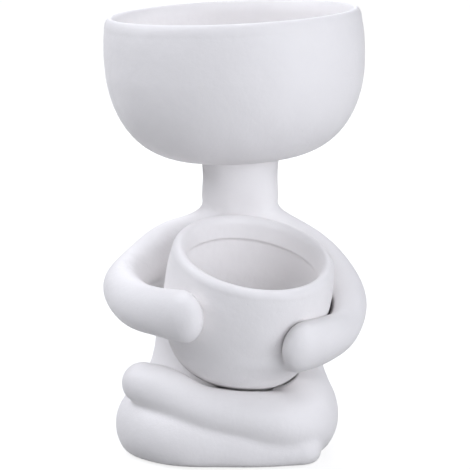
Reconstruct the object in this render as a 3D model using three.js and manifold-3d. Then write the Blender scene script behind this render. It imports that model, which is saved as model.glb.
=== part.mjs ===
// A seated ceramic figure with two planting pots: an open bowl for a head, and a cup hugged in its lap.
// Units are millimetres. +Z is up and the figure faces -Y. The origin is on the flat base, under the lap.
// Left and right are the figure's own, so its left arm and left leg are on the +X side.
// The figure is slip cast in seven pieces that are luted together before firing.
import * as THREE from "three";
import Module from "manifold-3d";
import { mergeVertices } from "three/addons/utils/BufferGeometryUtils.js";

const wasm = await Module();
wasm.setup();

// Walls and joints between the castings
const bodyWall = 5;
const seam = 0.3;
const lapGap = 1.2;

// Head bowl, which stands on the neck and tips a little to the figure's right
const bowlRadius = 60.5;
const bowlHeight = 67.5;
const bowlFootRadius = 19.5;
const bowlMouthDraw = 1.1;
const bowlWall = 5.5;
const bowlTilt = 2.4;
const bowlX = 1.9;
const drainRadius = 5;

// Neck and torso
const neckRadius = 17.5;
const neckHeight = 23.2;
const neckX = 2.4;
const neckY = 17;
const neckSetback = 4;
const neckSpread = 0.8;
const shoulderHeight = 109;
const shoulderFall = 17;
const shoulderSpread = 10;
const chestHeight = 79;
const chestHalfWidth = 42;
const chestHalfDepth = 22;
const chestY = 20;
const waistHeight = 48;
const waistHalfWidth = 38;
const waistHalfDepth = 25;
const waistX = 0.6;
const waistY = 17;
const hipHeight = 22;
const hipHalfWidth = 42;
const hipHalfDepth = 29;
const hipY = 12;
const baseRounding = 4;
const ventRadius = 8;
const ventSetback = 4;

// Lap, the block between the thighs that the cup stands on
const lapHalfWidth = 26;
const lapHalfDepth = 29;
const lapDraw = 4;
const lapY = -6;
const seatDepth = 4;

// Cup, leaning to the figure's left and tipped forward
const cupRadius = 38.2;
const cupHeight = 60;
const cupFootRadius = 17;
const cupWall = 5.5;
const cupMouthDraw = 1.2;
const cupLipWidth = 8;
const cupLipDepth = 8.7;
const cupLipRoll = 4;
const cupCrestWidth = 4.8;
const cupCrestRise = 4.6;
const cupLean = 8.5;
const cupTip = 16.5;
const cupFootX = 0.2;
const cupFootY = -15;
const cupFootZ = 39.2;

// Arms, wrapped round the cup
const armRadius = 9.5;
const elbowRadius = 9.2;
const wristRadius = 11;
const handRadius = 12;
const handThickness = 8;
const armRootX = 16;
const armRootDrop = 13;
const rightElbowReach = 20.5;
const rightElbowHeight = 30;
const rightHandBearing = -131;
const rightHandHeight = 41;
const leftElbowReach = 10.3;
const leftElbowHeight = 41;
const leftHandBearing = -55;
const leftHandHeight = 35;

// Legs, folded flat in front of the lap with the left shin lying on the right one
const thighRadius = 17.5;
const kneeRadius = 17;
const shinRadius = 12.5;
const ankleRadius = 10.5;
const footRadius = 9.5;
const kneeY = -22;
const shinY = -42;
const rightThighHeight = 15;
const rightKneeX = -38.5;
const rightKneeHeight = 13;
const rightFootX = 28.3;
const rightFootHeight = 3.8;
const rightToeLift = 2.2;
const leftThighHeight = 22;
const leftKneeX = 29.5;
const leftKneeHeight = 17;
const leftFootX = -42;
const leftFootHeight = 35;

// Facets
const outlinePoints = 14;
const lipPoints = 7;
const roundPoints = 44;
const trunkPoints = 36;
const torsoRings = 21;
const hollowRings = 11;
const lapRings = 4;
const limbPoints = 20;
const limbRings = 19;
const capRings = 4;

const degrees = THREE.MathUtils.degToRad;
const mix = THREE.MathUtils.lerp;

// A closed geometry as a solid that can be joined and cut
function solidOf(geometry) {
  const bare = new THREE.BufferGeometry();
  bare.setAttribute("position", geometry.getAttribute("position"));
  if (geometry.index) bare.setIndex(geometry.index);
  const merged = mergeVertices(bare, 1e-4);
  return new wasm.Manifold(
    new wasm.Mesh({
      numProp: 3,
      vertProperties: new Float32Array(merged.attributes.position.array),
      triVerts: dropSlivers(merged.index.array),
    }),
  );
}

// The triangles that keep three different corners after merging
function dropSlivers(index) {
  const kept = [];
  for (let i = 0; i < index.length; i += 3) {
    const [a, b, c] = index.slice(i, i + 3);
    if (a !== b && b !== c && c !== a) kept.push(a, b, c);
  }
  return new Uint32Array(kept);
}

function cut(solid, ...tools) {
  return tools.reduce((left, tool) => left.subtract(tool), solid);
}

// The largest body of a solid, without any crumb that a cut left behind
function mainBody(solid) {
  return solid.decompose().reduce((best, body) => (body.volume() > best.volume() ? body : best));
}

function meshOf(name, solid, material) {
  const { vertProperties, triVerts } = mainBody(solid).getMesh();
  const geometry = new THREE.BufferGeometry();
  geometry.setAttribute("position", new THREE.BufferAttribute(vertProperties, 3));
  geometry.setIndex(new THREE.BufferAttribute(triVerts, 1));
  geometry.computeVertexNormals();
  const mesh = new THREE.Mesh(geometry, material);
  mesh.name = name;
  return mesh;
}

// Rows of numbers read off a smooth curve through the given rows, at even steps of each row's position
function smoothRows(rows, positions, count) {
  const width = rows[0].length;
  const curve = new THREE.CubicInterpolant(
    Float64Array.from(positions),
    Float64Array.from(rows.flat()),
    width,
    new Float64Array(width),
  );
  const first = positions[0];
  const span = positions[positions.length - 1] - first;
  return Array.from({ length: count }, (_, i) => [...curve.evaluate(first + (span * i) / (count - 1))]);
}

// A closed skin over rings of points, each ring running anticlockwise seen from the ring after it
function loft(rings, startPole, endPole) {
  const around = rings[0].length;
  const points = [startPole, ...rings.flat(), endPole];
  const index = [];
  const at = (ring, step) => 1 + ring * around + (step % around);
  for (let step = 0; step < around; step++) {
    index.push(0, at(0, step + 1), at(0, step));
    index.push(points.length - 1, at(rings.length - 1, step), at(rings.length - 1, step + 1));
    for (let ring = 0; ring < rings.length - 1; ring++) {
      index.push(at(ring, step), at(ring, step + 1), at(ring + 1, step));
      index.push(at(ring, step + 1), at(ring + 1, step + 1), at(ring + 1, step));
    }
  }
  const geometry = new THREE.BufferGeometry();
  geometry.setAttribute("position", new THREE.Float32BufferAttribute(points.flatMap((p) => [...p]), 3));
  geometry.setIndex(index);
  return solidOf(geometry);
}

// A tapering limb through stations of [x, y, z, radius along facing, radius across facing], with a round tip.
// facing gives, for a point of the limb, the direction that the first radius is measured in.
function limb(stations, facing, grow = 0) {
  const points = stations.map((s) => new THREE.Vector3(...s));
  const travelled = [0];
  for (let i = 1; i < points.length; i++) {
    travelled.push(travelled[i - 1] + points[i].distanceTo(points[i - 1]));
  }
  const rows = smoothRows(stations, travelled, limbRings);
  const centres = rows.map((row) => new THREE.Vector3(...row));
  const tangents = centres.map((_, i) => {
    const before = centres[Math.max(i - 1, 0)];
    return centres[Math.min(i + 1, centres.length - 1)].clone().sub(before).normalize();
  });
  const ringAt = (centre, tangent, along, across) => {
    const first = facing(centre);
    first.addScaledVector(tangent, -first.dot(tangent)).normalize();
    const second = tangent.clone().cross(first);
    return Array.from({ length: limbPoints }, (_, i) => {
      const angle = (2 * Math.PI * i) / limbPoints;
      const point = centre.clone().addScaledVector(first, along * Math.cos(angle));
      return point.addScaledVector(second, across * Math.sin(angle));
    });
  };
  const rings = rows.map((row, i) => ringAt(centres[i], tangents[i], row[3] + grow, row[4] + grow));
  const [along, across] = rows[rows.length - 1].slice(3).map((radius) => radius + grow);
  const end = centres[centres.length - 1];
  const heading = tangents[tangents.length - 1];
  const capLength = (along + across) / 2;
  for (let i = 1; i < capRings; i++) {
    const angle = (Math.PI / 2) * (i / capRings);
    const centre = end.clone().addScaledVector(heading, capLength * Math.sin(angle));
    rings.push(ringAt(centre, heading, along * Math.cos(angle), across * Math.cos(angle)));
  }
  return loft(rings, centres[0], end.clone().addScaledVector(heading, capLength));
}

// An upright body through stations of [height, half width, half depth, centre x, centre y]
function trunk(stations, grow, count) {
  const rows = smoothRows(stations, stations.map((s) => s[0]), count);
  const squareness = 2.25;
  const round = (value) => Math.sign(value) * Math.abs(value) ** (2 / squareness);
  const rings = rows.map(([z, halfWidth, halfDepth, x, y]) =>
    Array.from({ length: trunkPoints }, (_, i) => {
      const angle = (2 * Math.PI * i) / trunkPoints;
      const across = (halfWidth + grow) * round(Math.cos(angle));
      return new THREE.Vector3(x + across, y + (halfDepth + grow) * round(Math.sin(angle)), z);
    }),
  );
  const poleAt = ([z, , , x, y]) => new THREE.Vector3(x, y, z);
  return loft(rings, poleAt(rows[0]), poleAt(rows[rows.length - 1]));
}

function revolve(profile) {
  return solidOf(new THREE.LatheGeometry(profile, roundPoints).rotateX(Math.PI / 2));
}

function pin(radius, from, to) {
  const geometry = new THREE.CylinderGeometry(radius, radius, to - from, roundPoints / 2);
  return solidOf(geometry.rotateX(Math.PI / 2).translate(0, 0, (from + to) / 2));
}

// A piece made upright at the origin, turned about Y by lean, then about X by tip, and moved to its place
function frameOf(lean, tip, place) {
  const turn = new THREE.Euler(degrees(tip), degrees(lean), 0, "XYZ");
  return new THREE.Matrix4().makeRotationFromEuler(turn).setPosition(place);
}

// A vessel's outside from foot to lip: a round flank that runs out into a nearly upright wall
function vesselOutline(footRadius, radius, height, mouthDraw, lipHeight) {
  const widest = height * 0.6;
  const path = new THREE.Path();
  path.moveTo(footRadius, 0);
  path.bezierCurveTo(radius * 0.74, 0, radius * 0.95, height * 0.26, radius * 0.99, widest);
  path.quadraticCurveTo(radius * 1.004, height * 0.8, radius - mouthDraw, height - lipHeight);
  return path.getSpacedPoints(outlinePoints);
}

// The same outside as a filled shape, grown all round, to cut its neighbours with
function vesselBlock(outline, height, grow) {
  const side = outline.map((p) => new THREE.Vector2(p.x + grow, p.y));
  side[0].y -= grow;
  const top = outline[outline.length - 1].x + grow;
  return revolve([
    new THREE.Vector2(0, -grow),
    ...side,
    new THREE.Vector2(top, height + grow),
    new THREE.Vector2(0, height + grow),
  ]);
}

// The inside of a vessel's wall from the top down, ending in a flat floor
function vesselInside(outline, wall, top) {
  const side = outline.filter((p) => p.y > wall * 1.5 && p.y <= top);
  const inside = side.map((p) => new THREE.Vector2(p.x - wall, p.y)).reverse();
  const floorRadius = inside[inside.length - 1].x * 0.84;
  return [...inside, new THREE.Vector2(floorRadius, wall), new THREE.Vector2(0, wall)];
}

// Head bowl

const bowlLip = bowlWall / 2;
const bowlOutline = vesselOutline(bowlFootRadius, bowlRadius, bowlHeight, bowlMouthDraw, bowlLip);
const bowlPlace = new THREE.Vector3(bowlX, neckY - neckSetback, shoulderHeight + neckHeight);
const bowlFrame = frameOf(-bowlTilt, 0, bowlPlace);

function bowlSolid() {
  const rim = bowlOutline[bowlOutline.length - 1];
  const roll = new THREE.Path().absarc(rim.x - bowlLip, rim.y, bowlLip, 0, Math.PI);
  const lip = roll.getPoints(lipPoints).slice(1, -1);
  const inside = vesselInside(bowlOutline, bowlWall, rim.y);
  const profile = [new THREE.Vector2(0, 0), ...bowlOutline, ...lip, ...inside];
  const drain = pin(drainRadius, -bowlWall, 2 * bowlWall);
  return revolve(profile).subtract(drain).transform(bowlFrame.elements);
}

const bowlBlock = (grow) => vesselBlock(bowlOutline, bowlHeight, grow).transform(bowlFrame.elements);

// Cup

const cupOutline = vesselOutline(cupFootRadius, cupRadius, cupHeight, cupMouthDraw, cupLipRoll);
const cupPlace = new THREE.Vector3(cupFootX, cupFootY, cupFootZ);
const cupFrame = frameOf(cupLean, cupTip, cupPlace);
const cupAxis = new THREE.Vector3(0, 0, 1).transformDirection(cupFrame);

// The lip is thick: it rolls over a round crest and slopes down inside to an edge that overhangs the hollow
function cupSolid() {
  const rim = cupOutline[cupOutline.length - 1];
  const mouth = cupRadius - cupLipWidth;
  const edge = new THREE.Vector2(mouth, cupHeight - cupLipDepth);
  const undercut = new THREE.Vector2(mouth + 1, edge.y - 1);
  const half = cupCrestWidth / 2;
  const roll = new THREE.Path();
  roll.absellipse(rim.x - half, rim.y, half, cupCrestRise, 0, degrees(160));
  const crest = roll.getSpacedPoints(lipPoints).slice(1);
  const inside = vesselInside(cupOutline, cupWall, edge.y - 2);
  const profile = [new THREE.Vector2(0, 0), ...cupOutline, ...crest, edge, undercut, ...inside];
  return revolve(profile).transform(cupFrame.elements);
}

const cupBlock = (grow) => vesselBlock(cupOutline, cupHeight, grow).transform(cupFrame.elements);

function cupRadiusAt(height) {
  const above = Math.max(1, cupOutline.findIndex((p) => p.y >= height));
  const [low, high] = [cupOutline[above - 1], cupOutline[above]];
  return THREE.MathUtils.mapLinear(height, low.y, high.y, low.x, high.x);
}

// A point beside the cup: its bearing in degrees, its distance from the cup's wall and its height on the cup
function besideCup(bearing, distance, height) {
  const reach = cupRadiusAt(height) + distance;
  const angle = degrees(bearing);
  const local = new THREE.Vector3(reach * Math.cos(angle), reach * Math.sin(angle), height);
  return [...local.applyMatrix4(cupFrame)];
}

function awayFromCup(point) {
  const from = point.clone().sub(cupPlace);
  return from.addScaledVector(cupAxis, -from.dot(cupAxis)).normalize();
}

// Torso

function torsoStations() {
  const shoulderWidth = neckRadius + shoulderSpread;
  const neckTop = shoulderHeight + neckHeight + neckSetback;
  return [
    [0, hipHalfWidth - baseRounding, hipHalfDepth - baseRounding, 0, hipY],
    [baseRounding, hipHalfWidth - 1, hipHalfDepth - 1, 0, hipY],
    [hipHeight, hipHalfWidth, hipHalfDepth, 0, hipY + 1],
    [waistHeight, waistHalfWidth, waistHalfDepth, waistX, waistY],
    [chestHeight - 10, chestHalfWidth, chestHalfDepth + 1, 0, chestY - 1],
    [chestHeight, chestHalfWidth, chestHalfDepth, 0, chestY],
    [shoulderHeight - shoulderFall, chestHalfWidth - 9, chestHalfDepth - 2, neckX * 0.5, chestY - 0.5],
    [shoulderHeight - shoulderFall * 0.5, shoulderWidth, neckRadius - 0.5, neckX * 0.8, chestY],
    [shoulderHeight - 2, neckRadius + shoulderSpread * 0.18, neckRadius - 1, neckX, mix(neckY, chestY, 0.9)],
    [shoulderHeight + 5, neckRadius + neckSpread * 0.5, neckRadius - 0.8, neckX, mix(neckY, chestY, 0.5)],
    [shoulderHeight + neckHeight * 0.6, neckRadius, neckRadius - 0.2, neckX, mix(neckY, chestY, 0.1)],
    [neckTop, neckRadius + neckSpread, neckRadius + neckSpread, neckX, neckY],
  ];
}

// The block under the cup, which the cup's clearance then cuts into a seat
function lapStations() {
  const top = cupFootZ + seatDepth;
  return [
    [0, lapHalfWidth - baseRounding, lapHalfDepth - baseRounding, 0, lapY],
    [baseRounding, lapHalfWidth - 1, lapHalfDepth - 1, 0, lapY],
    [top * 0.5, lapHalfWidth, lapHalfDepth, 0, lapY],
    [top, lapHalfWidth - lapDraw, lapHalfDepth - lapDraw, 0, lapY],
  ];
}

function torsoBlock(grow) {
  return trunk(torsoStations(), grow, torsoRings).add(trunk(lapStations(), grow, lapRings));
}

// The hollow inside the torso, which runs up the neck to drain the bowl
function torsoHollow() {
  const aboveFloor = torsoStations().filter(([z]) => z > bodyWall);
  const floor = [bodyWall, hipHalfWidth - baseRounding, hipHalfDepth - baseRounding, 0, hipY];
  return cut(trunk([floor, ...aboveFloor], -bodyWall, hollowRings), cupBlock(seam + bodyWall));
}

// Arms

const rightArm = (grow) =>
  limb(
    [
      [neckX - armRootX, chestY - 4, shoulderHeight - armRootDrop, armRadius, armRadius],
      [...besideCup(131, rightElbowReach - 3, rightElbowHeight + 7), armRadius, armRadius],
      [...besideCup(147, rightElbowReach, rightElbowHeight), armRadius, armRadius],
      [...besideCup(167, rightElbowReach, rightElbowHeight - 2.4), elbowRadius, elbowRadius],
      [...besideCup(-171, 13.2, rightElbowHeight), elbowRadius + 0.6, wristRadius - 0.5],
      [...besideCup(rightHandBearing - 18, handThickness, rightHandHeight - 5), handThickness, wristRadius],
      [...besideCup(rightHandBearing, handThickness - 1.2, rightHandHeight), handThickness, handRadius],
    ],
    awayFromCup,
    grow,
  );

const leftHandReach = handThickness - 2;
const leftWristBearing = leftHandBearing + 21;

const leftArm = (grow) =>
  limb(
    [
      [neckX + armRootX, chestY - 4, shoulderHeight - armRootDrop, armRadius, armRadius],
      [...besideCup(58, leftElbowReach + 1, leftElbowHeight + 3.5), armRadius, armRadius],
      [...besideCup(38, leftElbowReach, leftElbowHeight), armRadius, armRadius],
      [...besideCup(12, leftElbowReach - 0.5, leftElbowHeight - 4.5), elbowRadius - 0.2, elbowRadius + 0.3],
      [...besideCup(-14, handThickness - 0.2, leftHandHeight - 1), handThickness, wristRadius - 0.6],
      [...besideCup(leftWristBearing, leftHandReach, leftHandHeight), handThickness, wristRadius + 1.3],
      [...besideCup(leftHandBearing, leftHandReach, leftHandHeight), handThickness, handRadius - 0.3],
    ],
    awayFromCup,
    grow,
  );

// Legs

const upright = () => new THREE.Vector3(0, 0, 1);

// A point of the right shin at a share of the way from its knee to its foot, as far forward as y says
function onRightShin(share, y) {
  return [mix(rightKneeX, rightFootX, share), y, mix(rightKneeHeight, rightFootHeight, share)];
}

function onLeftShin(share, y) {
  return [mix(leftKneeX, leftFootX, share), y, mix(leftKneeHeight, leftFootHeight, share)];
}

const rightLeg = (grow) =>
  limb(
    [
      [-hipHalfWidth * 0.5, hipY + 4, rightThighHeight, thighRadius, thighRadius],
      [rightKneeX + 5, kneeY + 18, rightThighHeight, thighRadius, thighRadius],
      [...onRightShin(0, kneeY), kneeRadius + 0.4, kneeRadius - 0.9],
      [...onRightShin(0.18, shinY + 3), kneeRadius - 2, shinRadius + 0.5],
      [...onRightShin(0.5, shinY + 2), shinRadius + 1.5, shinRadius],
      [...onRightShin(0.75, shinY + 2.5), shinRadius - 0.5, shinRadius - 0.5],
      [rightFootX, shinY + 4.5, rightFootHeight + rightToeLift, footRadius + 1, footRadius + 1.5],
    ],
    upright,
    grow,
  );

const leftLeg = (grow) =>
  limb(
    [
      [hipHalfWidth * 0.4, hipY + 6, leftThighHeight, thighRadius, thighRadius],
      [leftKneeX - 2.5, kneeY + 20, leftThighHeight - 1, thighRadius + 0.5, thighRadius + 0.5],
      [...onLeftShin(0, kneeY - 4.5), kneeRadius + 1.4, kneeRadius - 0.2],
      [...onLeftShin(0.1, shinY + 3), kneeRadius - 2.6, shinRadius + 0.5],
      [...onLeftShin(0.33, shinY - 1.5), shinRadius - 0.8, shinRadius - 1.5],
      [...onLeftShin(0.63, shinY - 1), ankleRadius, ankleRadius - 0.3],
      [...onLeftShin(0.86, shinY + 6), ankleRadius - 0.2, ankleRadius - 0.5],
      [...onLeftShin(1, shinY + 12), footRadius, footRadius],
    ],
    upright,
    grow,
  );

// Cutting each piece to its neighbours

const ground = solidOf(new THREE.BoxGeometry(400, 400, 60).translate(0, 0, -30));
const vent = pin(ventRadius, -bodyWall, 2 * bodyWall).translate([0, hipY + ventSetback, 0]);
const torsoRoom = torsoBlock(seam);
const cupRoom = cupBlock(seam);
const lapRoom = cupBlock(lapGap);

const pieces = {
  head_bowl: bowlSolid(),
  torso: cut(torsoBlock(0), torsoHollow(), vent, bowlBlock(seam), cupRoom, ground),
  right_arm: cut(rightArm(0), torsoRoom, cupRoom),
  left_arm: cut(leftArm(0), torsoRoom, cupRoom),
  right_leg: cut(rightLeg(0), torsoRoom, lapRoom, ground),
  left_leg: cut(leftLeg(0), torsoRoom, rightLeg(seam), lapRoom, ground),
  cup: cupSolid(),
};

const planter = new THREE.Group();
for (const [name, solid] of Object.entries(pieces)) {
  const bisque = new THREE.MeshStandardMaterial({ color: 0xe9e8ec, roughness: 0.65, metalness: 0 });
  planter.add(meshOf(name, solid, bisque));
}

export default planter;
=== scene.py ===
import math

import bpy
import numpy as np
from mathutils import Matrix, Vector

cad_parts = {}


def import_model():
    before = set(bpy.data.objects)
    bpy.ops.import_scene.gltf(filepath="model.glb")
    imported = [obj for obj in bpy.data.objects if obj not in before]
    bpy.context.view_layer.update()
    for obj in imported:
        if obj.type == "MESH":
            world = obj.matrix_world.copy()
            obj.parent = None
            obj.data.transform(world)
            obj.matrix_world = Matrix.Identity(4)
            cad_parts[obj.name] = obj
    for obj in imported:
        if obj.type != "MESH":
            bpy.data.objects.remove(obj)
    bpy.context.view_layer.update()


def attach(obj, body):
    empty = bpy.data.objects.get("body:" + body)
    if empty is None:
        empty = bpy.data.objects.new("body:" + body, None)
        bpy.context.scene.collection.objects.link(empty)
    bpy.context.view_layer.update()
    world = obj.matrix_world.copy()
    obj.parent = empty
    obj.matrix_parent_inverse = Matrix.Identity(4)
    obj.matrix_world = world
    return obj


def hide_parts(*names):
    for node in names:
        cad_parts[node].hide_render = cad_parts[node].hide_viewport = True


# The planter's looks: one seamless fired skin over torso, arms and legs, and the two vessels it carries.
# Shapes are worked out in millimetres in the part's own frame, and become metres when a mesh is made.
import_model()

MM = 0.001

# Camera, in the photograph's place
CAMERA_TILT = 10.5
CAMERA_DISTANCE = 1.2
CAMERA_AIM = Vector((0, 0, 0.0978))
LENS = 199.04
SENSOR = 36

# Both vessels: the widest place as shares of radius and height, and the swell over it
WIDEST = 0.99
WIDEST_HEIGHT = 0.6
UPPER_SWELL = 1.004
UPPER_HEIGHT = 0.8
FLOOR_MARGIN = 1.02

# Head bowl
BOWL_RADIUS = 60.5
BOWL_HEIGHT = 67.5
BOWL_FOOT_RADIUS = 19.5
BOWL_MOUTH_DRAW = 1.1
BOWL_BELLY = (0.74, 0.95, 0.26)
BOWL_WALL = 5.5
BOWL_CREST_RISE = 5.5
BOWL_CREST_TURN = 175
BOWL_FLOOR_EASE = 6
BOWL_TILT = 2.6
BOWL_PLACE = (1.9, 12.98, 132.35)
DRAIN_RADIUS = 5
DRAIN_EASE = 8
DRAIN_CHAMFER = 1

# Neck and torso
BODY_WALL = 5
HOLLOW_CLEAR = 0.3
NECK_RADIUS = 17.5
NECK_X = 2.4
NECK_Y = 17
NECK_TOP = 134.5
SHOULDER_HEIGHT = 109
SHOULDER_FALL = 17
SHOULDER_SPREAD = 10
CHEST_HEIGHT = 79
CHEST_HALF_WIDTH = 42
CHEST_HALF_DEPTH = 22
CHEST_Y = 20
WAIST_HEIGHT = 48
WAIST_HALF_WIDTH = 38
WAIST_HALF_DEPTH = 25
WAIST_X = 0.6
WAIST_Y = 17
HIP_HEIGHT = 22
HIP_HALF_WIDTH = 42
HIP_HALF_DEPTH = 29
HIP_Y = 12
SQUARENESS = 2.25
VENT_RADIUS = 8
VENT_Y = 16

# Lap
LAP_HALF_WIDTH = 26
LAP_HALF_DEPTH = 29
LAP_Y = -6
LAP_TOP = 43.2

# Cup
CUP_RADIUS = 38.2
CUP_HEIGHT = 60
CUP_FOOT_RADIUS = 17
CUP_MOUTH_DRAW = 1.2
CUP_BELLY = (0.8, 0.93, 0.22)
CUP_WALL = 5.5
CUP_LIP_WIDTH = 7.6
CUP_LIP_DEPTH = 9.6
CUP_LIP_ROLL = 4
CUP_LIP_SLOPE = (0.35, 1.6)
CUP_LIP_UNDER = ((0.1, -0.5), (0.8, -1))
CUP_LIP_CLEAR = 2
CUP_CREST_WIDTH = 6
CUP_CREST_RISE = 3.9
CUP_CREST_TURN = 160
CUP_FLOOR_EASE = 4
CUP_FLOOR_FLAT = (3, 0.2, 0.01)
CUP_LEAN = 8.5
CUP_TIP = 17.7
CUP_PLACE = (-0.1, -14.05, 39.35)

# Arms
ARM_RADIUS = 9.5
ELBOW_RADIUS = 9.2
WRIST_RADIUS = 11
HAND_RADIUS = 12
HAND_THICKNESS = 8

# Legs
THIGH_RADIUS = 17.5
KNEE_RADIUS = 17
SHIN_RADIUS = 12.5
ANKLE_RADIUS = 10.5
FOOT_RADIUS = 9.5
RIGHT_KNEE = (-38.5, -22, 13)
RIGHT_FOOT = (28.3, -37.5, 3.8)
LEFT_KNEE = (29.5, -26.5, 17)
LEFT_FOOT = (-42, -30, 35)
SHIN_Y = -42

# How the clay was joined: widths of the fillets, gaps, and the slip under the left hand
SHOULDER_BLEND = 9
HIP_BLEND = 14
FOOT_BLEND = 3
FOOT_REACH = (14, 38)
SHIN_CREASE = 3.5
HAND_BLEND = 25
BASE_ROUNDING = 5
LAP_GAP = (0.6, 0.9)
LAP_GAP_START = 4
LAP_GAP_TOP = 30
LAP_GAP_FADE = 14
CAVITY = 0.6
CAVITY_DEPTH = 5
SUNK = 1.2
SLIP_TOP = 33
SLIP_FULL = 20
SLIP_LOW = 17
SLIP_FADE = 0.012
SLIP_SUNK = 0.012
SLIP_NARROW = 0.3
SLIP_SPREAD = 0.85
SLIP_THINNING = 0.05
SLIP_EASE = 6
SLIP_DEPTH = 2.5
FINGERTIP = ((-56, 1, 44), (-65, 1, 32.5))
FINGER_GAP = 2.0
FINGER_SPREAD = 1.5
FINGER_REACH = 4
NECK_CUT = 7
MOUTH_CLEAR = 0.6
MOUTH_DEPTH = 4

# Fineness of the skin and of the turned vessels
SKIN_STEP = 1.0
SKIN_LOW = (-64.0, -76.0, -3.0)
SKIN_HIGH = (64.0, 48.0, NECK_TOP + 3)
COARSE = 4
CLOSE_CELLS = 1.6
SETTLE_ROUNDS = 2
SETTLE_PROBE = 0.1
SETTLE_STRIDE = 0.6
LEAST_STEEPNESS = 0.2
RELAX_SHARE = 0.5
LIMB_STEPS = 96
LIMB_EASING = 6
LIMB_MARGIN = 3
SEARCH_ROUNDS = 4
SEARCH_STRIDE = 2
LEAST_SLOPE = 0.3
BATCH = 40000
COLUMN_STEPS = 160
OUTLINE_STEPS = 40
CREST_STEPS = 24
LIP_STEPS = 8
FLOOR_STEPS = 12
TURN_STEPS = 192
CHART_STEP = 0.4
FAR = 60.0

# Clay, with noises given by size in metres, detail and roughness
CLAY = (0.93, 0.911, 0.903)
CLAY_CLOUDED = (0.91, 0.891, 0.885)
CLOUDS = (0.022, 4, 0.6)
CLOUD_RANGE = (0.35, 0.7)
SPECKS = (0.0011, 2, 0.6)
SPECK_RANGE = (0.62, 0.75)
SPECK_SHARE = 0.5
PINHOLE = (0.76, 0.75, 0.745)
PINHOLE_GAP = 0.006
PINHOLE_RADIUS = 0.0003
PINHOLE_SHARE = 0.12
PINHOLE_DEPTH = 0.0002
SCUFF = (0.78, 0.765, 0.745)
SCUFF_HEIGHT = 0.0035
SCUFF_PATCHES = (0.006, 4, 0.6)
SCUFF_RANGE = (0.4, 0.65)
SCUFF_SHARE = 0.6
# Painted shade: the near-black colour put into the narrow gaps beside the cup, and the settings of the
# occlusion that finds those gaps
SEAM_PAINTED_SHADE = (0.16, 0.14, 0.14)
PAINTED_SHADE_REACH = 0.004
PAINTED_SHADE_OPEN = 0.42
PAINTED_SHADE_FULL = 0.4
PAINTED_SHADE_SAMPLES = 12
PAINTED_SHADE_EDGE = 0.7
DULLNESS = (0.008, 3)
DULLNESS_RANGE = (0.3, 0.7)
ROUGHNESS = (0.5, 0.62)

# Where shade is painted into the gaps beside the cup: the middle of each stretch of gap, its reach and
# how dark it gets
PAINTED_SHADE_SPOTS = (
    ((0, -21, 37), 36, 0.6),
    ((43, -28, 71.5), 10, 1.0),
    ((23.3, -55.4, 62.9), 10, 0.55),
)

# Relief of the surface, as size and depth in metres: slow waves, orange peel and tooth
RELIEF = ((0.014, 0.0007), (0.0017, 0.00009), (0.0004, 0.00004))

# Floor and lamps
FLOOR = 0.35
FLOOR_SIZE = 12
FLOOR_GLOW_REACH = (0.15, 0.9)
FLOOR_GLOW = (0.78, 1.0)
LAMP_COLOUR = (0.912, 0.93, 1.0)
LAMP_SIZE = 0.7
LAMP_REACH = 1.2
LAMP_AIM = Vector((0, 0, 0.1))

# Soft boxes all round: bearing from +Y towards +X and height above level in degrees, and watts
LAMPS = {
    "behind": (0, 40, 6.8),
    "right": (90, 40, 4.1),
    "front right": (135, 5, 5.0),
    "key": (155, 20, 4.1),
    "front": (180, 5, 2.7),
    "left": (270, 40, 9.4),
    "high left": (290, 65, 3.0),
}


def camera():
    data = bpy.data.cameras.new("camera")
    data.lens = LENS
    data.sensor_width = SENSOR
    thing = bpy.data.objects.new("camera", data)
    tilt = math.radians(CAMERA_TILT)
    back = Vector((0, -math.cos(tilt), math.sin(tilt)))
    thing.location = CAMERA_AIM + back * CAMERA_DISTANCE
    thing.rotation_euler = (math.pi / 2 - tilt, 0, 0)
    bpy.context.scene.collection.objects.link(thing)
    bpy.context.scene.camera = thing


# Curves

def smooth_rows(rows, positions, count):
    """Rows at even steps of position, on a smooth curve through the given rows."""
    rows = np.array(rows, float)
    t = np.array(positions, float)
    last = len(t) - 1
    at = np.linspace(t[0], t[-1], count)
    i = np.clip(np.searchsorted(t, at, side="right"), 1, last)
    t0, t1 = t[i - 1], t[i]
    before = np.where(i >= 2, np.maximum(i - 2, 0), i)
    after = np.where(i < last, np.minimum(i + 1, last), i - 1)
    half = (t1 - t0) / 2
    weight_before = half / (t0 - np.where(i >= 2, t[np.maximum(i - 2, 0)], t1))
    weight_after = half / (np.where(i < last, t[np.minimum(i + 1, last)], t0) - t1)
    p = (at - t0) / (t1 - t0)
    sb = -weight_before * p**3 + 2 * weight_before * p**2 - weight_before * p
    s0 = (1 + weight_before) * p**3 + (-1.5 - 2 * weight_before) * p**2 + (-0.5 + weight_before) * p + 1
    s1 = (-1 - weight_after) * p**3 + (1.5 + weight_after) * p**2 + 0.5 * p
    sa = weight_after * p**3 - weight_after * p**2
    parts = ((sb, before), (s0, i - 1), (s1, i), (sa, after))
    return sum(share[:, None] * rows[index] for share, index in parts)


def bezier(points, count):
    """Points on the curve of Bezier control points, ends included."""
    t = np.linspace(0, 1, count)[:, None]
    level = [np.array(p, float) for p in points]
    curve = [p + 0 * t for p in level]
    while len(curve) > 1:
        curve = [a * (1 - t) + b * t for a, b in zip(curve, curve[1:])]
    return curve[0]


def vessel_outline(foot_radius, radius, height, mouth_draw, lip_height, belly):
    """A vessel's outside from foot to lip, as rows of radius and height."""
    low, swell, rise = belly
    widest = (radius * WIDEST, height * WIDEST_HEIGHT)
    upper = (radius * UPPER_SWELL, height * UPPER_HEIGHT)
    lip = (radius - mouth_draw, height - lip_height)
    flank = [(foot_radius, 0), (radius * low, 0), (radius * swell, height * rise), widest]
    flank = bezier(flank, OUTLINE_STEPS)
    wall = bezier([widest, upper, lip], OUTLINE_STEPS // 2)
    return np.vstack([flank, wall[1:]])


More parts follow.
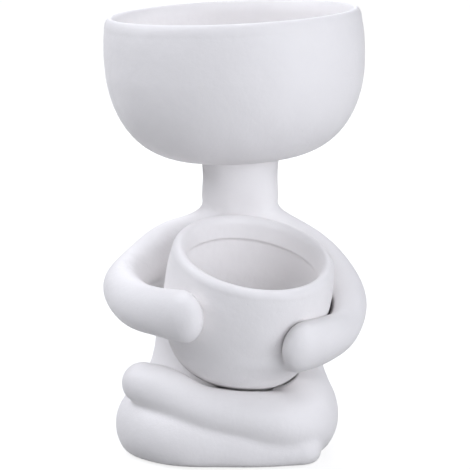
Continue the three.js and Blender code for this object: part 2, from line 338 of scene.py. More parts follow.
def crest(start, width, rise, turn):
    """The round top of a rim, from the outer wall over to the inside, through the given degrees."""
    angles = np.radians(np.linspace(0, turn, CREST_STEPS + 1))[1:]
    half = width / 2
    return start - (half, 0) + np.column_stack([half * np.cos(angles), rise * np.sin(angles)])


def turned_inwards(outline, wall, top):
    """The inside of a vessel's wall from the top down, a wall's thickness in from the outline."""
    run = np.gradient(outline, axis=0)
    run /= np.linalg.norm(run, axis=1)[:, None]
    inside = outline + wall * np.column_stack([-run[:, 1], run[:, 0]])
    over_floor = inside[:, 1] > wall * FLOOR_MARGIN
    keep = (inside[:, 1] < top) & over_floor & (inside[:, 0] > 0)
    return inside[keep][::-1]


class Place:
    """The frame of a vessel, turned about Y by lean, then about X by tip."""

    def __init__(self, lean, tip, origin):
        a, b = math.radians(lean), math.radians(tip)
        about_y = np.array([[math.cos(a), 0, math.sin(a)], [0, 1, 0], [-math.sin(a), 0, math.cos(a)]])
        about_x = np.array([[1, 0, 0], [0, math.cos(b), -math.sin(b)], [0, math.sin(b), math.cos(b)]])
        self.turn = about_x @ about_y
        self.origin = np.array(origin, float)

    def out(self, points):
        return np.asarray(points) @ self.turn.T + self.origin

    def into(self, points):
        return (points - self.origin) @ self.turn


bowl_outline = vessel_outline(BOWL_FOOT_RADIUS, BOWL_RADIUS, BOWL_HEIGHT,
                              BOWL_MOUTH_DRAW, BOWL_CREST_RISE, BOWL_BELLY)
bowl_place = Place(-BOWL_TILT, 0, BOWL_PLACE)
cup_outline = vessel_outline(CUP_FOOT_RADIUS, CUP_RADIUS, CUP_HEIGHT,
                             CUP_MOUTH_DRAW, CUP_LIP_ROLL, CUP_BELLY)
cup_edge = np.array([CUP_RADIUS - CUP_LIP_WIDTH, CUP_HEIGHT - CUP_LIP_DEPTH])
cup_roll = crest(cup_outline[-1], CUP_CREST_WIDTH, CUP_CREST_RISE, CUP_CREST_TURN)
cup_lip = bezier([cup_roll[-1], cup_roll[-1] - CUP_LIP_SLOPE, cup_edge], LIP_STEPS)
cup_roll = np.vstack([cup_roll, cup_lip[1:]])
cup_top = cup_roll[:, 1].argmax()
cup_crest = cup_roll[cup_top]
cup_place = Place(CUP_LEAN, CUP_TIP, CUP_PLACE)
cup_axis = cup_place.turn[:, 2]


def beside_cup(bearing, distance, height):
    """A point by its bearing in degrees, its distance from the cup's wall and its height on the cup."""
    reach = np.interp(height, cup_outline[:, 1], cup_outline[:, 0]) + distance
    angle = math.radians(bearing)
    return tuple(cup_place.out((reach * math.cos(angle), reach * math.sin(angle), height)))


# Distance fields, negative inside

def smooth_union(a, b, width):
    overlap = np.maximum(width - np.abs(a - b), 0) / width
    return np.minimum(a, b) - overlap**3 * width / 6


def smooth_cut(a, b, width):
    return -smooth_union(-a, -b, width)


def unit(vectors):
    return vectors / np.linalg.norm(vectors, axis=-1, keepdims=True)


def in_box(points, low, high, field):
    """The field near a box, and a far value elsewhere."""
    value = np.full(len(points), FAR)
    near = ((points > low) & (points < high)).all(axis=1)
    if near.any():
        value[near] = field(points[near])
    return value


class Limb:
    """A limb through stations of x, y, z, radius along its facing and radius across it."""

    def __init__(self, stations, facing, margin):
        stations = np.array(stations, float)
        steps = np.linalg.norm(np.diff(stations[:, :3], axis=0), axis=1)
        rows = smooth_rows(stations, np.concatenate([[0], np.cumsum(steps)]), LIMB_STEPS)
        for _ in range(LIMB_EASING):
            rows[1:-1] = (rows[:-2] + 2 * rows[1:-1] + rows[2:]) / 4
        self.centre = rows[:, :3]
        self.radii = rows[:, 3:5]
        self.tangent = unit(np.gradient(self.centre, axis=0))
        first = facing(self.centre)
        first = first - (first * self.tangent).sum(axis=1)[:, None] * self.tangent
        self.first = unit(first)
        self.step = steps.sum() / (LIMB_STEPS - 1)
        reach = self.radii.max() + margin
        self.low = self.centre.min(axis=0) - reach
        self.high = self.centre.max(axis=0) + reach

    def __call__(self, points):
        return in_box(points, self.low, self.high, self.close)

    def close(self, points):
        batches = [points[i:i + BATCH] for i in range(0, len(points), BATCH)]
        return np.concatenate([self.distance(batch) for batch in batches])

    def nearest(self, points):
        """How far along the limb each point is, counted in rows."""
        square = (points**2).sum(axis=1)[:, None] + (self.centre**2).sum(axis=1)[None]
        at = (square - 2 * points @ self.centre.T).argmin(axis=1).astype(float)
        for _ in range(SEARCH_ROUNDS):
            low = np.minimum(at.astype(int), LIMB_STEPS - 2)
            share = (at - low)[:, None]
            run = self.centre[low + 1] - self.centre[low]
            turn = self.tangent[low + 1] - self.tangent[low]
            offset = points - self.centre[low] - share * run
            tangent = self.tangent[low] + share * turn
            slope = (run * tangent).sum(axis=1) - (offset * turn).sum(axis=1)
            step = (offset * tangent).sum(axis=1) / np.maximum(slope, LEAST_SLOPE * self.step)
            at = np.clip(at + np.clip(step, -SEARCH_STRIDE, SEARCH_STRIDE), 0, LIMB_STEPS - 1)
        return at

    def distance(self, points):
        at = self.nearest(points)
        low = np.minimum(at.astype(int), LIMB_STEPS - 2)
        share = (at - low)[:, None]
        mixed = lambda rows: rows[low] * (1 - share) + rows[low + 1] * share
        tangent, first, radii = unit(mixed(self.tangent)), mixed(self.first), mixed(self.radii)
        from_centre = points - mixed(self.centre)
        first = unit(first - (first * tangent).sum(axis=1)[:, None] * tangent)
        second = np.cross(tangent, first)
        a = (from_centre * first).sum(axis=1)
        b = (from_centre * second).sum(axis=1)
        c = (from_centre * tangent).sum(axis=1)
        c = np.where((at <= 0) | (at >= LIMB_STEPS - 1), c, 0)
        cap = radii.mean(axis=1)
        near = np.sqrt((a / radii[:, 0])**2 + (b / radii[:, 1])**2 + (c / cap)**2)
        slope = np.sqrt((a / radii[:, 0]**2)**2 + (b / radii[:, 1]**2)**2 + (c / cap**2)**2)
        return near * (near - 1) / np.maximum(slope, 1e-6)


def column(points, stations, inset=0.0):
    """An upright body through stations of height, half width, half depth, centre x and centre y."""
    rows = smooth_rows(stations, [row[0] for row in stations], COLUMN_STEPS)
    half_width, half_depth, x, y = (
        np.interp(points[:, 2], rows[:, 0], rows[:, k]) for k in (1, 2, 3, 4))
    half_width, half_depth = half_width - inset, half_depth - inset
    u = np.abs(points[:, 0] - x) / half_width
    v = np.abs(points[:, 1] - y) / half_depth
    n = SQUARENESS
    near = np.maximum((u**n + v**n)**(1 / n), 1e-3)
    slope = np.hypot(near**(1 - n) * u**(n - 1) / half_width, near**(1 - n) * v**(n - 1) / half_depth)
    return (near - 1) / np.maximum(slope, 1e-3)


def chart(line, reach):
    """Distances from a turned outline, negative inside, by steps of radius and height above -reach."""
    radii = np.arange(0, 2 * reach, CHART_STEP)
    heights = np.arange(-reach, 2 * reach, CHART_STEP)
    r, h = np.meshgrid(radii, heights, indexing="ij")
    best = np.full(r.shape, np.inf)
    for (r0, h0), (r1, h1) in zip(line, line[1:]):
        long2 = (r1 - r0)**2 + (h1 - h0)**2
        t = np.clip(((r - r0) * (r1 - r0) + (h - h0) * (h1 - h0)) / long2, 0, 1)
        best = np.minimum(best, (r - r0 - t * (r1 - r0))**2 + (h - h0 - t * (h1 - h0))**2)
    inside = (h > 0) & (h < line[-1][1]) & (r < np.interp(h, line[1:-1, 1], line[1:-1, 0]))
    return np.sqrt(best) * np.where(inside, -1, 1)


# The cup with its hollow filled up to the crest of its lip
cup_line = np.vstack([(0, 0), cup_outline, cup_roll[:cup_top + 1], (0, cup_crest[1])])
cup_chart = chart(cup_line, FAR)


def cup_block(points):
    local = cup_place.into(points)
    r, h = np.hypot(local[:, 0], local[:, 1]), local[:, 2]
    rows, columns = cup_chart.shape
    a = np.clip(r / CHART_STEP, 0, rows - 1.001)
    b = np.clip((h + FAR) / CHART_STEP, 0, columns - 1.001)
    i, j = a.astype(int), b.astype(int)
    u, v = a - i, b - j
    low = cup_chart[i, j] * (1 - v) + cup_chart[i, j + 1] * v
    high = cup_chart[i + 1, j] * (1 - v) + cup_chart[i + 1, j + 1] * v
    return low * (1 - u) + high * u


def over_cup(points):
    """The space over the cup's mouth, as wide as the crest of its lip."""
    local = cup_place.into(points)
    sideways = np.hypot(local[:, 0], local[:, 1]) - cup_crest[0] - MOUTH_CLEAR
    return np.maximum(sideways, cup_crest[1] - MOUTH_DEPTH - local[:, 2])


# The figure's parts, with stations of height, half width, half depth, centre x and centre y

TORSO_STATIONS = [
    (0, HIP_HALF_WIDTH - 1.5, HIP_HALF_DEPTH - 1.5, 0, HIP_Y),
    (4, HIP_HALF_WIDTH - 1, HIP_HALF_DEPTH - 1, 0, HIP_Y),
    (HIP_HEIGHT, HIP_HALF_WIDTH, HIP_HALF_DEPTH, 0, HIP_Y + 1),
    (WAIST_HEIGHT, WAIST_HALF_WIDTH, WAIST_HALF_DEPTH, WAIST_X, WAIST_Y),
    (CHEST_HEIGHT - 10, CHEST_HALF_WIDTH, CHEST_HALF_DEPTH + 1, 0, CHEST_Y - 1),
    (CHEST_HEIGHT, CHEST_HALF_WIDTH, CHEST_HALF_DEPTH, 0, CHEST_Y),
    (SHOULDER_HEIGHT - SHOULDER_FALL, CHEST_HALF_WIDTH - 9, CHEST_HALF_DEPTH - 2,
     NECK_X * 0.5, CHEST_Y - 0.5),
    (SHOULDER_HEIGHT - 8.5, NECK_RADIUS + SHOULDER_SPREAD, NECK_RADIUS - 0.5, NECK_X * 0.8, CHEST_Y),
    (SHOULDER_HEIGHT - 2, NECK_RADIUS + 1, NECK_RADIUS - 1, NECK_X, CHEST_Y),
    (SHOULDER_HEIGHT + 5, NECK_RADIUS + 0.4, NECK_RADIUS - 0.8, NECK_X, NECK_Y + 1.5),
    (SHOULDER_HEIGHT + 14, NECK_RADIUS, NECK_RADIUS - 0.2, NECK_X, NECK_Y + 0.4),
    (NECK_TOP, NECK_RADIUS + 0.8, NECK_RADIUS + 0.8, NECK_X, NECK_Y),
]

LAP_STATIONS = [
    (0, LAP_HALF_WIDTH - 1, LAP_HALF_DEPTH - 1, 0, LAP_Y),
    (LAP_TOP / 2, LAP_HALF_WIDTH, LAP_HALF_DEPTH, 0, LAP_Y),
    (LAP_TOP, LAP_HALF_WIDTH - 4, LAP_HALF_DEPTH - 4, 0, LAP_Y),
]


def away_from_cup(points):
    from_foot = points - cup_place.origin
    return unit(from_foot - (from_foot @ cup_axis)[:, None] * cup_axis)


def upright(points):
    return np.tile((0.0, 0.0, 1.0), (len(points), 1))


def between(start, end, share, y, lift=0.0):
    """A point at a share of the way from a knee to a foot, at the given y and lifted off that line."""
    return (start[0] + (end[0] - start[0]) * share, y, start[2] + (end[2] - start[2]) * share + lift)


def torso(points):
    return np.maximum(column(points, TORSO_STATIONS), points[:, 2] - NECK_TOP)


def lap(points):
    return np.maximum(column(points, LAP_STATIONS), points[:, 2] - LAP_TOP)


def hollow(points, cup):
    """The room inside the torso, open at the neck and clear of the cup."""
    inside = column(points, TORSO_STATIONS, BODY_WALL)
    return np.maximum.reduce([inside, BODY_WALL - points[:, 2], BODY_WALL + HOLLOW_CLEAR - cup])


def vent(points):
    """The round hole in the base."""
    pipe = np.hypot(points[:, 0], points[:, 1] - VENT_Y) - VENT_RADIUS
    return np.maximum(pipe, points[:, 2] - 2 * BODY_WALL)


def right_arm():
    """The arm on the -X side, bent at the elbow, its hand laid on the cup."""
    return Limb([
        (NECK_X - 16, CHEST_Y - 4, SHOULDER_HEIGHT - 13, ARM_RADIUS, ARM_RADIUS),
        (*beside_cup(131, 16, 37.3), ARM_RADIUS + 1, ARM_RADIUS + 1),
        (*beside_cup(147, 19.4, 29.8), ARM_RADIUS + 0.6, ARM_RADIUS + 0.6),
        (*beside_cup(167, 20.5, 27.6), ELBOW_RADIUS, ELBOW_RADIUS),
        (*beside_cup(-171, 13.2, 30), ELBOW_RADIUS + 0.6, WRIST_RADIUS - 0.5),
        (*beside_cup(-149, HAND_THICKNESS, 36.4), HAND_THICKNESS, WRIST_RADIUS),
        (*beside_cup(-131, HAND_THICKNESS - 1.2, 41.6), HAND_THICKNESS, HAND_RADIUS),
    ], away_from_cup, SHOULDER_BLEND + LIMB_MARGIN)


def left_arm():
    """The arm on the +X side, close round the cup."""
    return Limb([
        (NECK_X + 16, CHEST_Y - 4, SHOULDER_HEIGHT - 13, ARM_RADIUS, ARM_RADIUS),
        (*beside_cup(58, 11.3, 44.5), ARM_RADIUS, ARM_RADIUS),
        (*beside_cup(38, 10.3, 41), ARM_RADIUS, ARM_RADIUS),
        (*beside_cup(12, 9.8, 36.3), ELBOW_RADIUS - 0.2, ELBOW_RADIUS + 0.1),
        (*beside_cup(-14, 7.8, 32.7), HAND_THICKNESS, WRIST_RADIUS - 1.8),
        (*beside_cup(-34, HAND_THICKNESS - 2, 34.2), HAND_THICKNESS, WRIST_RADIUS + 0.2),
        (*beside_cup(-55, HAND_THICKNESS - 2, 35.6), HAND_THICKNESS, HAND_RADIUS),
    ], away_from_cup, SHOULDER_BLEND + LIMB_MARGIN)


def right_leg():
    """The lower folded leg, its knee on the -X side."""
    return Limb([
        (-21, 16, 15, THIGH_RADIUS, THIGH_RADIUS),
        (RIGHT_KNEE[0] + 5, RIGHT_KNEE[1] + 18, 15, THIGH_RADIUS, THIGH_RADIUS),
        (*RIGHT_KNEE, KNEE_RADIUS + 0.4, KNEE_RADIUS - 0.9),
        (*between(RIGHT_KNEE, RIGHT_FOOT, 0.18, SHIN_Y + 3), KNEE_RADIUS - 2, SHIN_RADIUS + 0.5),
        (*between(RIGHT_KNEE, RIGHT_FOOT, 0.5, SHIN_Y + 2), SHIN_RADIUS + 1.5, SHIN_RADIUS),
        (*between(RIGHT_KNEE, RIGHT_FOOT, 0.75, SHIN_Y + 2.5), SHIN_RADIUS - 0.5, SHIN_RADIUS - 0.5),
        (RIGHT_FOOT[0], RIGHT_FOOT[1], RIGHT_FOOT[2] + 2.2, FOOT_RADIUS + 1, FOOT_RADIUS + 1.5),
    ], upright, HIP_BLEND + LIMB_MARGIN)


def left_leg():
    """The upper folded leg, its knee on the +X side and its shin over the other one."""
    return Limb([
        (16.8, 18, 22, THIGH_RADIUS, THIGH_RADIUS),
        (LEFT_KNEE[0] - 2.5, LEFT_KNEE[1] + 24.5, 21, THIGH_RADIUS + 0.5, THIGH_RADIUS + 0.5),
        (*LEFT_KNEE, KNEE_RADIUS + 1.4, KNEE_RADIUS - 0.2),
        (*between(LEFT_KNEE, LEFT_FOOT, 0.1, SHIN_Y + 5, -0.5), KNEE_RADIUS - 3.1, SHIN_RADIUS + 2.5),
        (*between(LEFT_KNEE, LEFT_FOOT, 0.33, SHIN_Y + 0.5), SHIN_RADIUS - 0.8, SHIN_RADIUS + 0.5),
        (*between(LEFT_KNEE, LEFT_FOOT, 0.63, SHIN_Y - 1, -1.4), ANKLE_RADIUS - 0.8, ANKLE_RADIUS - 0.3),
        (*between(LEFT_KNEE, LEFT_FOOT, 0.86, SHIN_Y + 6, 0.5), ANKLE_RADIUS + 0.3, ANKLE_RADIUS - 0.3),
        (*LEFT_FOOT, FOOT_RADIUS, FOOT_RADIUS),
    ], upright, HIP_BLEND + LIMB_MARGIN)


def lap_gap(points, core):
    """The gap between lap and cup, wider at the sides and further in; negative away from the foot."""
    local = cup_place.into(points)
    radius = np.hypot(local[:, 0], local[:, 1])
    around = np.clip((radius - CUP_FOOT_RADIUS - 1) / LAP_GAP_START, 0, 1)
    around = around * np.clip((LAP_GAP_TOP - local[:, 2]) / LAP_GAP_FADE, 0, 1)
    sideways = np.clip(np.abs(local[:, 0]) / CUP_FOOT_RADIUS, 0, 1)**2
    narrow, wide = LAP_GAP
    gap = narrow + (wide - narrow) * sideways + CAVITY * np.clip(-core, 0, CAVITY_DEPTH)
    return (gap + SUNK) * around - SUNK


def fingertip_gap(points):
    """How far the left hand's fingertips stand off the cup, less further down; negative elsewhere."""
    start, end = (np.array(beside_cup(*place)) for place in FINGERTIP)
    run = end - start
    along = np.clip((points - start) @ run / (run @ run), 0, 1)
    apart = np.linalg.norm(points - start - along[:, None] * run, axis=1)
    near = np.clip(FINGER_SPREAD - apart / FINGER_REACH, 0, 1)
    return (3 * SUNK + FINGER_GAP * (1 - along**2)) * near - 3 * SUNK


def hand_fillet(arm, cup, points):
    """Slip that runs from the lower side of the left hand down onto the cup."""
    height = cup_place.into(points)[:, 2]
    share = np.clip((SLIP_TOP - height) / (SLIP_TOP - SLIP_FULL), 0, 1)
    share = share**2 * (3 - 2 * share)
    width = SLIP_NARROW + (HAND_BLEND - SLIP_NARROW) * share
    beyond = np.maximum(arm - width * SLIP_SPREAD, 0)
    sink = SLIP_SUNK + SUNK * (1 - share)**SLIP_EASE + SLIP_THINNING * beyond**2
    sink = sink + SLIP_FADE * np.maximum(SLIP_LOW - height, 0)**2
    return np.maximum(smooth_union(arm, cup + sink, width), -(cup + SLIP_DEPTH * SUNK))


class Figure:
    """The seamless body's field: torso and lap, arms, legs, hollow inside and flat underneath."""

    def __init__(self):
        self.right_arm, self.left_arm = right_arm(), left_arm()
        self.right_leg, self.left_leg = right_leg(), left_leg()

    def __call__(self, points):
        cup = cup_block(points)
        core = smooth_union(torso(points), lap(points), HIP_BLEND)
        legs = smooth_union(self.right_leg(points), self.left_leg(points), SHIN_CREASE)
        from_foot = np.linalg.norm(points - LEFT_FOOT, axis=1)
        core = smooth_union(core, legs, np.interp(from_foot, FOOT_REACH, (FOOT_BLEND, HIP_BLEND)))
        core = np.maximum(core, lap_gap(points, core) - cup)
        arm = self.left_arm(points)
        core = smooth_union(core, self.right_arm(points), SHOULDER_BLEND)
        core = smooth_union(core, arm, SHOULDER_BLEND)
        core = smooth_cut(core, -over_cup(points), NECK_CUT)
        core = np.maximum(core, -(cup + SUNK))
        core = np.minimum(core, hand_fillet(arm, cup, points))
        core = np.maximum(core, fingertip_gap(points) - cup)
        core = smooth_cut(core, -points[:, 2], BASE_ROUNDING)
        return np.maximum.reduce([core, -hollow(points, cup), -vent(points)])


# Meshes

def mesh_object(name, points, faces, material):
    """A smooth object from points in millimetres and quads."""
    mesh = bpy.data.meshes.new(name)
    faces = np.asarray(faces, np.int32)
    mesh.vertices.add(len(points))
    mesh.vertices.foreach_set("co", (np.asarray(points) * MM).astype(np.float32).ravel())
    mesh.loops.add(faces.size)
    mesh.loops.foreach_set("vertex_index", faces.ravel())
    mesh.polygons.add(len(faces))
    mesh.polygons.foreach_set("loop_start", np.arange(0, faces.size, 4, dtype=np.int32))
    mesh.polygons.foreach_set("use_smooth", np.ones(len(faces), bool))
    mesh.update(calc_edges=True)
    mesh.validate()
    mesh.materials.append(material)
    thing = bpy.data.objects.new(name, mesh)
    bpy.context.scene.collection.objects.link(thing)
    return thing


def net(values, low, step):
    """Quads on the zero level of a grid of values, with a point in each cell that the level crosses."""
    shape = np.array(values.shape)
    cells = shape - 1
    stride = np.array([cells[1] * cells[2], cells[2], 1])
    total = np.zeros((3, cells.prod()))
    count = np.zeros(cells.prod())
    quads = []
    for axis in range(3):
        one, two = (axis + 1) % 3, (axis + 2) % 3
        a = np.take(values, range(shape[axis] - 1), axis)
        b = np.take(values, range(1, shape[axis]), axis)
        start = np.argwhere((a < 0) != (b < 0))
        inner = (start[:, one] > 0) & (start[:, two] > 0)
        inner &= (start[:, one] < cells[one]) & (start[:, two] < cells[two])
        start = start[inner]
        va, vb = a[tuple(start.T)], b[tuple(start.T)]
        spot = start.astype(float)
        spot[:, axis] += va / (va - vb)
        corners = []
        for back_one, back_two in ((1, 1), (0, 1), (0, 0), (1, 0)):
            cell = start.copy()
            cell[:, one] -= back_one
            cell[:, two] -= back_two
            flat = cell @ stride
            corners.append(flat)
            count += np.bincount(flat, minlength=len(count))
            for k in range(3):
                total[k] += np.bincount(flat, weights=spot[:, k], minlength=len(count))
        quad = np.column_stack(corners)
        quad[va >= 0] = quad[va >= 0][:, ::-1]
        quads.append(quad)
    used = np.flatnonzero(count)
    number = np.full(len(count), -1)
    number[used] = np.arange(len(used))
    points = (total[:, used] / count[used]).T * step + low
    return points, number[np.vstack(quads)]


def settle(points, field, rounds):
    """Points moved onto the zero level of a field, along its slope."""
    for _ in range(rounds):
        value = field(points)
        slope = np.empty_like(points)
        for k in range(3):
            shift = np.zeros(3)
            shift[k] = SETTLE_PROBE
            slope[:, k] = (field(points + shift) - value) / SETTLE_PROBE
        steepness = np.maximum((slope**2).sum(axis=1), LEAST_STEEPNESS)
        move = slope * (value / steepness)[:, None]
        size = np.linalg.norm(move, axis=1, keepdims=True)
        points = points - move * np.minimum(1, SETTLE_STRIDE / np.maximum(size, 1e-9))
    return points


def relaxed(points, faces, share):
    """Points drawn towards the middle of their neighbours, which evens out the quads."""
    total = np.zeros_like(points)
    count = np.zeros(len(points))
    for k in range(4):
        a, b = faces[:, k], faces[:, (k + 1) % 4]
        for one, two in ((a, b), (b, a)):
            count += np.bincount(one, minlength=len(points))
            for axis in range(3):
                total[:, axis] += np.bincount(one, weights=points[two, axis], minlength=len(points))
    return points + share * (total / count[:, None] - points)


def skin(material):
    """The seamless body: its field on a coarse grid, finer near the surface, and then as quads."""
    figure = Figure()
    low, high = np.array(SKIN_LOW), np.array(SKIN_HIGH)
    counts = np.ceil((high - low) / (SKIN_STEP * COARSE)).astype(int) * COARSE + 1
    steps = np.stack(np.meshgrid(*(np.arange(count) for count in counts), indexing="ij"), axis=-1)
    coarse = steps[::COARSE, ::COARSE, ::COARSE]
    rough = figure(low + SKIN_STEP * coarse.reshape(-1, 3)).reshape(coarse.shape[:3])
    nearest = (steps + COARSE // 2) // COARSE
    values = rough[nearest[..., 0], nearest[..., 1], nearest[..., 2]]
    close = np.abs(values) < SKIN_STEP * COARSE * CLOSE_CELLS
    values[close] = figure(low + SKIN_STEP * steps[close])
    points, faces = net(values, low, SKIN_STEP)
    points = settle(points, figure, SETTLE_ROUNDS)
    points = relaxed(points, faces, RELAX_SHARE)
    points = settle(points, figure, SETTLE_ROUNDS)
    return mesh_object("body_skin", points, faces, material)


def turned(name, profile, place, material):
    """A vessel turned from a closed profile of rows of radius and height."""
    angles = 2 * np.pi * np.arange(TURN_STEPS) / TURN_STEPS
    rings = len(profile)
    r, h = profile[:, 0], profile[:, 1]
    x, y, z = np.outer(np.cos(angles), r), np.outer(np.sin(angles), r), np.tile(h, (TURN_STEPS, 1))
    points = place.out(np.stack([x, y, z], axis=-1).reshape(-1, 3))
    a = np.arange(TURN_STEPS)[:, None] * rings + np.arange(rings)[None]
    step = np.roll(a, -1, axis=1)
    faces = np.stack([a, np.roll(a, -1, axis=0), np.roll(step, -1, axis=0), step], axis=-1)
    return mesh_object(name, points, faces.reshape(-1, 4), material)


def head_bowl(material):
    rim = bowl_outline[-1]
    rolled = crest(rim, BOWL_WALL, BOWL_CREST_RISE, BOWL_CREST_TURN)
    inside = turned_inwards(bowl_outline, BOWL_WALL, rim[1])
    corner = (inside[-1, 0] - BOWL_FLOOR_EASE, BOWL_WALL)
    floor = bezier([inside[-1], corner, (DRAIN_RADIUS + DRAIN_EASE, BOWL_WALL)], FLOOR_STEPS)[1:]
    wide = DRAIN_RADIUS + DRAIN_CHAMFER
    drain = np.array([(wide, BOWL_WALL), (DRAIN_RADIUS, BOWL_WALL - DRAIN_CHAMFER),
                      (DRAIN_RADIUS, DRAIN_CHAMFER), (wide, 0), (BOWL_FOOT_RADIUS - 1, 0)])
    profile = np.vstack([bowl_outline, rolled, inside, floor, drain])
    return turned("bowl", profile, bowl_place, material)


def cup(material):
    under = cup_edge + CUP_LIP_UNDER
    inside = turned_inwards(cup_outline, CUP_WALL, cup_edge[1] - CUP_LIP_CLEAR)
    flat, ring, centre = CUP_FLOOR_FLAT
    corner = (inside[-1, 0] - CUP_FLOOR_EASE, CUP_WALL)
    floor = bezier([inside[-1], corner, (flat, CUP_WALL)], FLOOR_STEPS)[1:]
    middle = np.array([(ring, CUP_WALL), (centre, CUP_WALL), (centre, 0), (ring, 0),
                       (CUP_FOOT_RADIUS - 1, 0)])
    profile = np.vstack([cup_outline, cup_roll, under, inside, floor, middle])
    return turned("lap_cup", profile, cup_place, material)


# Material

class Nodes:
    """A material's node tree, with short calls to add and join nodes."""

    def __init__(self, material):
        material.use_nodes = True
        self.tree = material.node_tree
        self.tree.nodes.clear()

    def add(self, kind, values=None, **settings):
        node = self.tree.nodes.new("ShaderNode" + kind)
        for name, value in settings.items():
            setattr(node, name, value)
        for name, value in (values or {}).items():
            if isinstance(value, bpy.types.NodeSocket):
                self.tree.links.new(value, node.inputs[name])
            else:
                node.inputs[name].default_value = value
        return node

    def noise(self, place, size, detail=2.0, roughness=0.5):
        """Noise with features of about the given size in metres."""
        values = {"Vector": place, "Scale": 1 / size, "Detail": detail, "Roughness": roughness}
        return self.add("TexNoise", values).outputs["Fac"]

    def ranged(self, value, low, high, to_low, to_high):
        values = {"Value": value, "From Min": low, "From Max": high, "To Min": to_low, "To Max": to_high}
        return self.add("MapRange", values).outputs["Result"]

    def maths(self, operation, one, two):
        return self.add("Math", {0: one, 1: two}, operation=operation).outputs[0]

    def bump(self, height, depth, under=None):
        values = {"Height": height, "Distance": depth}
        if under is not None:
            values["Normal"] = under
        return self.add("Bump", values).outputs["Normal"]

    def mixed(self, share, one, two):
        node = self.add("Mix", {"Factor": share}, data_type="RGBA")
        for index, colour in ((6, one), (7, two)):
            if isinstance(colour, bpy.types.NodeSocket):
                self.tree.links.new(colour, node.inputs[index])
            else:
                node.inputs[index].default_value = (*colour, 1)
        return node.outputs[2]


def pinholes(nodes, place):
    """A few small pits that gas left in the clay."""
    cells = nodes.add("TexVoronoi", {"Vector": place, "Scale": 1 / PINHOLE_GAP})
    chosen = nodes.add("SeparateColor", {"Color": cells.outputs["Color"]}).outputs["Red"]
    chosen = nodes.maths("GREATER_THAN", chosen, 1 - PINHOLE_SHARE)
    edge = PINHOLE_RADIUS / PINHOLE_GAP
    pit = nodes.ranged(cells.outputs["Distance"], edge * 0.5, edge, 1.0, 0.0)
    return nodes.maths("MULTIPLY", pit, chosen)


def painted_seam_shade(nodes, place):
    """How far a point lies down one of the narrow gaps beside the cup, found by ambient occlusion near
    the listed spots, where shade is painted in.
    """
    shade = nodes.add("AmbientOcclusion", {"Distance": PAINTED_SHADE_REACH}, samples=PAINTED_SHADE_SAMPLES)
    narrow = nodes.ranged(shade.outputs["AO"], PAINTED_SHADE_OPEN * PAINTED_SHADE_FULL, PAINTED_SHADE_OPEN, 1.0, 0.0)
    near = 0.0
    for spot, reach, share in PAINTED_SHADE_SPOTS:
        apart = nodes.add("VectorMath", {0: place, 1: Vector(spot) * MM}, operation="DISTANCE")
        painted_shade = nodes.ranged(apart.outputs["Value"], reach * MM * PAINTED_SHADE_EDGE, reach * MM, share, 0.0)
        near = nodes.maths("MAXIMUM", near, painted_shade)
    return nodes.maths("MULTIPLY", narrow, near)


def scuffs(nodes, place):
    """Wear along the edge of the flat base, where it rubs on shelves, in patches."""
    height = nodes.add("SeparateXYZ", {"Vector": place}).outputs["Z"]
    low = nodes.ranged(height, 0.0, SCUFF_HEIGHT, 1.0, 0.0)
    patches = nodes.ranged(nodes.noise(place, *SCUFF_PATCHES), *SCUFF_RANGE, 0.0, SCUFF_SHARE)
    return nodes.maths("MULTIPLY", low, patches)


def clay():
    """Matt white bisque: clouds, specks, pinholes, scuffs and painted shade in the gaps by the cup,
    uneven dullness and fine relief.
    """
    material = bpy.data.materials.new("bisque")
    nodes = Nodes(material)
    place = nodes.add("TexCoord").outputs["Object"]
    clouds = nodes.noise(place, *CLOUDS)
    specks = nodes.noise(place, *SPECKS)
    pits = pinholes(nodes, place)
    colour = nodes.mixed(nodes.ranged(clouds, *CLOUD_RANGE, 0, 1), CLAY, CLAY_CLOUDED)
    colour = nodes.mixed(nodes.ranged(specks, *SPECK_RANGE, 0, SPECK_SHARE), colour, CLAY_CLOUDED)
    colour = nodes.mixed(pits, colour, PINHOLE)
    colour = nodes.mixed(scuffs(nodes, place), colour, SCUFF)
    # Painted shade: the narrow gaps beside the cup darkened towards the near-black shade colour
    colour = nodes.mixed(painted_seam_shade(nodes, place), colour, SEAM_PAINTED_SHADE)
    dull = nodes.ranged(nodes.noise(place, *DULLNESS), *DULLNESS_RANGE, *ROUGHNESS)
    normal = None
    for size, depth in RELIEF:
        normal = nodes.bump(nodes.noise(place, size), depth, normal)
    normal = nodes.bump(nodes.maths("SUBTRACT", 1.0, pits), PINHOLE_DEPTH, normal)
    shader = nodes.add("BsdfPrincipled", {"Base Color": colour, "Roughness": dull, "Normal": normal})
    nodes.add("OutputMaterial", {"Surface": shader.outputs[0]})
    return material


# Stage

def plane(name, size, material):
    """A level square round the origin."""
    half = size / 2
    corners = [(-half, -half, 0), (half, -half, 0), (half, half, 0), (-half, half, 0)]
    mesh = bpy.data.meshes.new(name)
    mesh.from_pydata(corners, [], [(0, 1, 2, 3)])
    mesh.materials.append(material)
    thing = bpy.data.objects.new(name, mesh)
    bpy.context.scene.collection.objects.link(thing)
    return thing


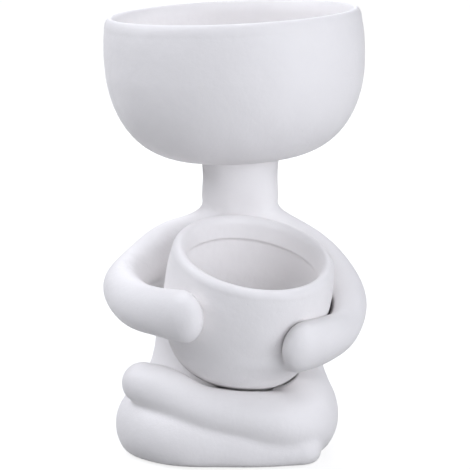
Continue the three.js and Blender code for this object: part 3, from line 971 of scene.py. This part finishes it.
def floor():
    """A white floor that glows for the camera alone, less near the object so that its shadow shows."""
    material = bpy.data.materials.new("floor")
    nodes = Nodes(material)
    path = nodes.add("LightPath").outputs
    seen = nodes.maths("MAXIMUM", path["Is Camera Ray"], path["Is Glossy Ray"])
    place = nodes.add("TexCoord").outputs["Object"]
    apart = nodes.add("VectorMath", {0: place}, operation="LENGTH").outputs["Value"]
    glow = nodes.ranged(apart, *FLOOR_GLOW_REACH, *FLOOR_GLOW)
    glow = nodes.add("Emission", {"Strength": nodes.maths("MULTIPLY", glow, seen)})
    diffuse = nodes.add("BsdfDiffuse", {"Color": (FLOOR, FLOOR, FLOOR, 1)})
    both = nodes.add("AddShader", {0: diffuse.outputs[0], 1: glow.outputs[0]})
    nodes.add("OutputMaterial", {"Surface": both.outputs[0]})
    plane("floor", FLOOR_SIZE, material)


def world():
    """White for the camera, and dark for the object, which the lamps light."""
    sky = bpy.data.worlds.new("world")
    bpy.context.scene.world = sky
    nodes = Nodes(sky)
    path = nodes.add("LightPath").outputs
    seen = nodes.maths("MAXIMUM", path["Is Camera Ray"], path["Is Transmission Ray"])
    white = nodes.add("Background", {"Color": (1, 1, 1, 1), "Strength": seen})
    nodes.add("OutputWorld", {"Surface": white.outputs[0]})


def lamp(name, bearing, height, watts):
    data = bpy.data.lights.new(name, "AREA")
    data.size = LAMP_SIZE
    data.energy = watts
    data.color = LAMP_COLOUR
    a, b = math.radians(bearing), math.radians(height)
    thing = bpy.data.objects.new(name, data)
    away = Vector((math.sin(a) * math.cos(b), math.cos(a) * math.cos(b), math.sin(b)))
    thing.location = LAMP_AIM + away * LAMP_REACH
    thing.rotation_euler = (-away).to_track_quat("-Z", "Y").to_euler()
    thing.visible_camera = False
    bpy.context.scene.collection.objects.link(thing)


camera()
bpy.context.scene.view_settings.view_transform = "Standard"
world()
floor()
for name, (bearing, height, watts) in LAMPS.items():
    lamp(name, bearing, height, watts)

bisque = clay()
body = skin(bisque)
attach(body, "root")
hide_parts("torso", "right_arm", "left_arm", "right_leg", "left_leg")

bowl = head_bowl(bisque)
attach(bowl, "root")
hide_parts("head_bowl")

lap_cup = cup(bisque)
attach(lap_cup, "root")
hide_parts("cup")
